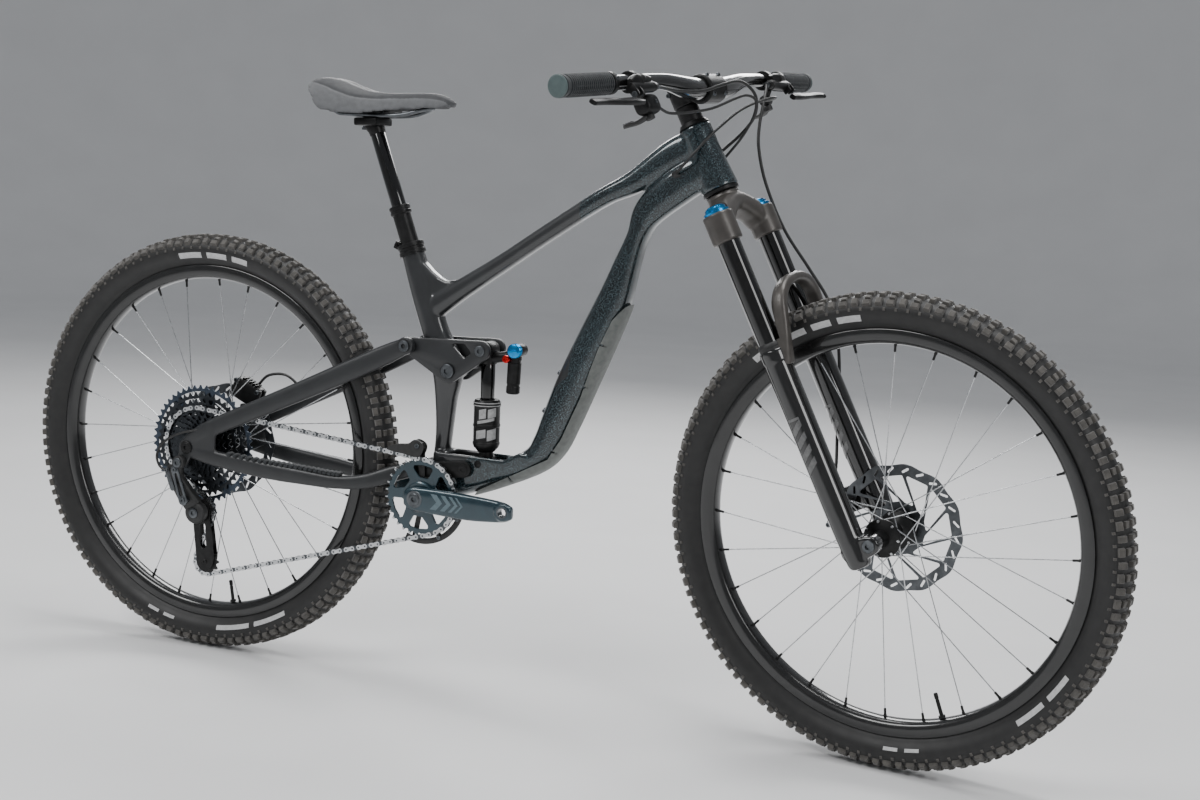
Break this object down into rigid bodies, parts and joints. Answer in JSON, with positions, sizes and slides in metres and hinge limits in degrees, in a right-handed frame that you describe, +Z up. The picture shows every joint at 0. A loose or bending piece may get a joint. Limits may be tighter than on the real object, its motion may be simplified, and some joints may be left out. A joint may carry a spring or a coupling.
{
  "type": "full-suspension mountain bike",
  "caption": "Full-suspension mountain bike with a long-travel fork, four-pivot rear end, dropper seatpost, disc brakes and a wide-range single-ring drivetrain.",
  "frame": {"origin": "on the ground, midway along the bike and on its centre plane", "axes": "+X forward along the bike, +Y to the rider's left, +Z up; the steering is turned 8.9 degrees to the right"},
  "size_m": [1.9858, 0.8033, 1.0843],
  "materials": {
    "flake_paint": "gloss clear coat over metal flake on carbon",
    "grey_paint": "satin graphite paint on carbon",
    "black_alloy": "anodised black, satin",
    "dark_steel": "dark, satin",
    "bright_steel": "bare, brushed",
    "crank_blue": "dark teal-blue carbon, clear coat",
    "black_plastic": "moulded black, matt",
    "guard_rubber": "grey, matt",
    "tyre_rubber": "black, matt",
    "rim_black": "black carbon, clear coat",
    "stanchion_coat": "hard black coat, polished",
    "crown_grey": "forged, satin brown-grey",
    "lowers_black": "gloss black paint on magnesium",
    "anodised_blue": "anodised blue",
    "grip_rubber": "grey-black, matt",
    "saddle_cover": "microfibre cover over foam",
    "hose_black": "black, semi-gloss"
  },
  "bodies": {
    "frame": {"main_frame": "flake_paint", "headset_lower_cup": "black_alloy", "down_tube_guard": "guard_rubber", "seat_clamp": "black_alloy", "dropper_outer": "black_alloy", "bottom_bracket": "black_alloy", "chain_guide": "black_plastic", "rocker_axle": "dark_steel"},
    "steering": {"fork_crown": "crown_grey", "stanchion_right": "stanchion_coat", "stanchion_left": "stanchion_coat", "stem_body": "black_alloy", "stem_faceplate": "black_alloy", "headset_spacers": "black_alloy", "handlebar": "black_alloy", "grip_right": "grip_rubber", "grip_left": "grip_rubber", "brake_body_right": "black_alloy", "brake_body_left": "black_alloy", "brake_hose_rear": "hose_black", "shift_cable": "hose_black", "dropper_cable": "hose_black"},
    "lowers": {"fork_lowers": "lowers_black", "front_axle": "black_alloy", "front_caliper": "black_alloy", "brake_hose_front": "hose_black"},
    "front_wheel": {"front_hub": "black_alloy", "front_rim": "rim_black", "front_tyre": "tyre_rubber", "front_rotor": "bright_steel"},
    "rocker": {"rocker_link": "grey_paint"},
    "swingarm": {"swingarm": "grey_paint", "rear_axle": "black_alloy", "rear_caliper": "black_alloy", "derailleur_body": "black_alloy", "chain_rear": "bright_steel"},
    "rear_wheel": {"rear_hub": "black_alloy", "rear_rim": "rim_black", "rear_tyre": "tyre_rubber", "rear_rotor": "bright_steel"},
    "cassette": {"cassette": "dark_steel"},
    "lower_link": {"lower_link": "black_alloy"},
    "shock_can": {"shock_can": "black_alloy"},
    "shock_damper": {"shock_damper": "black_alloy"},
    "shock_dial": {"shock_dial": "anodised_blue"},
    "cage": {"derailleur_cage": "black_alloy"},
    "upper_jockey": {"jockey_upper": "black_plastic"},
    "lower_jockey": {"jockey_lower": "black_plastic"},
    "upper_chain": {"chain_upper": "bright_steel"},
    "lower_chain": {"chain_lower": "bright_steel"},
    "crank": {"crank_arm_right": "crank_blue", "crank_arm_left": "crank_blue", "chainring": "crank_blue"},
    "dropper": {"dropper_stanchion": "black_alloy", "saddle_rails": "dark_steel", "saddle": "saddle_cover"},
    "right_brake_lever": {"brake_lever_right": "black_alloy"},
    "left_brake_lever": {"brake_lever_left": "black_alloy"},
    "trigger": {"shifter_trigger": "black_plastic"},
    "remote": {"dropper_lever": "black_plastic"}
  },
  "joints": [
    {"name": "steering_turn", "type": "hinge", "parent": "frame", "child": "steering", "pos_m": [0.58294, 0, 0.35375], "axis": [-0.4602, 0, 0.8878], "range_deg": [-56, 74], "deforming": ["brake_hose_rear", "shift_cable", "dropper_cable"]},
    {"name": "fork_travel", "type": "slide", "parent": "steering", "child": "lowers", "axis": [-0.4602, 0, 0.8878], "range_m": [0, 0.16], "stiffness_N_per_m": 6000, "springref_m": -0.02, "deforming": ["brake_hose_front"]},
    {"name": "front_wheel_spin", "type": "hinge", "parent": "lowers", "child": "front_wheel", "pos_m": [0.62153, -0.00681, 0.37376], "axis": [0.1374, 0.988, 0.0712], "continuous": true},
    {"name": "suspension", "type": "hinge", "parent": "frame", "child": "rocker", "pos_m": [-0.136, 0, 0.5525], "axis": [0, 1, 0], "range_deg": [0, 48], "stiffness_Nm_per_rad": 80, "springref_deg": -8.59},
    {"name": "seatstay_pivot", "type": "hinge", "parent": "rocker", "child": "swingarm", "pos_m": [-0.2124, 0, 0.5887], "axis": [0, 1, 0], "range_deg": [-36, 0]},
    {"name": "lower_link_pivot", "type": "hinge", "parent": "frame", "child": "lower_link", "pos_m": [-0.097, 0, 0.391], "axis": [0, 1, 0], "range_deg": [0, 31]},
    {"name": "shock_pivot", "type": "hinge", "parent": "frame", "child": "shock_can", "pos_m": [-0.074, 0, 0.402], "axis": [0, 1, 0], "range_deg": [0, 6]},
    {"name": "shock_stroke", "type": "slide", "parent": "shock_can", "child": "shock_damper", "axis": [0.0216, 0, -0.9998], "range_m": [0, 0.0556]},
    {"name": "shock_dial_turn", "type": "hinge", "parent": "shock_damper", "child": "shock_dial", "pos_m": [-0.0203, 0, 0.596], "axis": [0, 1, 0], "range_deg": [-90, 90]},
    {"name": "rear_wheel_spin", "type": "hinge", "parent": "swingarm", "child": "rear_wheel", "pos_m": [-0.62, 0, 0.374], "axis": [0, 1, 0], "continuous": true},
    {"name": "cassette_spin", "type": "hinge", "parent": "swingarm", "child": "cassette", "pos_m": [-0.62, 0, 0.374], "axis": [0, 1, 0], "continuous": true},
    {"name": "cage_swing", "type": "hinge", "parent": "swingarm", "child": "cage", "pos_m": [-0.6061, 0, 0.257], "axis": [0, 1, 0], "range_deg": [-15, 0]},
    {"name": "upper_jockey_spin", "type": "hinge", "parent": "cage", "child": "upper_jockey", "pos_m": [-0.6061, 0, 0.257], "axis": [0, 1, 0], "continuous": true},
    {"name": "lower_jockey_spin", "type": "hinge", "parent": "cage", "child": "lower_jockey", "pos_m": [-0.595, 0, 0.1665], "axis": [0, 1, 0], "continuous": true},
    {"name": "upper_chain_swing", "type": "hinge", "parent": "frame", "child": "upper_chain", "pos_m": [-0.168, 0, 0.337], "axis": [0, 1, 0], "range_deg": [0, 18]},
    {"name": "lower_chain_swing", "type": "hinge", "parent": "frame", "child": "lower_chain", "pos_m": [-0.168, 0, 0.337], "axis": [0, 1, 0], "range_deg": [0, 19]},
    {"name": "crank_turn", "type": "hinge", "parent": "frame", "child": "crank", "pos_m": [-0.168, 0, 0.337], "axis": [0, 1, 0], "continuous": true},
    {"name": "dropper_travel", "type": "slide", "parent": "frame", "child": "dropper", "axis": [0.3649, 0, -0.9311], "range_m": [0, 0.125], "stiffness_N_per_m": 400, "springref_m": -0.3},
    {"name": "right_brake_pull", "type": "hinge", "parent": "steering", "child": "right_brake_lever", "pos_m": [0.27173, -0.26251, 1.00117], "axis": [-0.4256, 0.1238, -0.8964], "range_deg": [0, 11.5], "stiffness_Nm_per_rad": 0.8, "springref_deg": -11.46},
    {"name": "left_brake_pull", "type": "hinge", "parent": "steering", "child": "left_brake_lever", "pos_m": [0.34206, 0.24333, 1.03762], "axis": [0.4256, -0.1238, 0.8964], "range_deg": [0, 11.5], "stiffness_Nm_per_rad": 0.8, "springref_deg": -11.46},
    {"name": "shift_trigger_push", "type": "hinge", "parent": "steering", "child": "trigger", "pos_m": [0.26467, -0.20134, 0.98061], "axis": [-0.4602, 0, 0.8878], "range_deg": [0, 16], "stiffness_Nm_per_rad": 0.2, "springref_deg": -11.46},
    {"name": "dropper_lever_push", "type": "hinge", "parent": "steering", "child": "remote", "pos_m": [0.31819, 0.19369, 1.01398], "axis": [0.4602, 0, -0.8878], "range_deg": [0, 22], "stiffness_Nm_per_rad": 0.2, "springref_deg": -11.46}
  ],
  "couplings": [
    {"joint": "seatstay_pivot", "follows": "suspension", "ratio": -0.746},
    {"joint": "lower_link_pivot", "follows": "suspension", "ratio": 0.64},
    {"joint": "shock_pivot", "follows": "suspension", "ratio": 0.105},
    {"joint": "shock_stroke", "follows": "suspension", "m_per_rad": 0.06575},
    {"joint": "cage_swing", "follows": "suspension", "ratio": -0.3},
    {"joint": "upper_chain_swing", "follows": "suspension", "ratio": 0.361},
    {"joint": "lower_chain_swing", "follows": "suspension", "ratio": 0.376},
    {"joint": "cassette_spin", "follows": "crank_turn", "ratio": 0.9697},
    {"joint": "upper_jockey_spin", "follows": "crank_turn", "ratio": -2.6667},
    {"joint": "lower_jockey_spin", "follows": "crank_turn", "ratio": 2.6667}
  ]
}
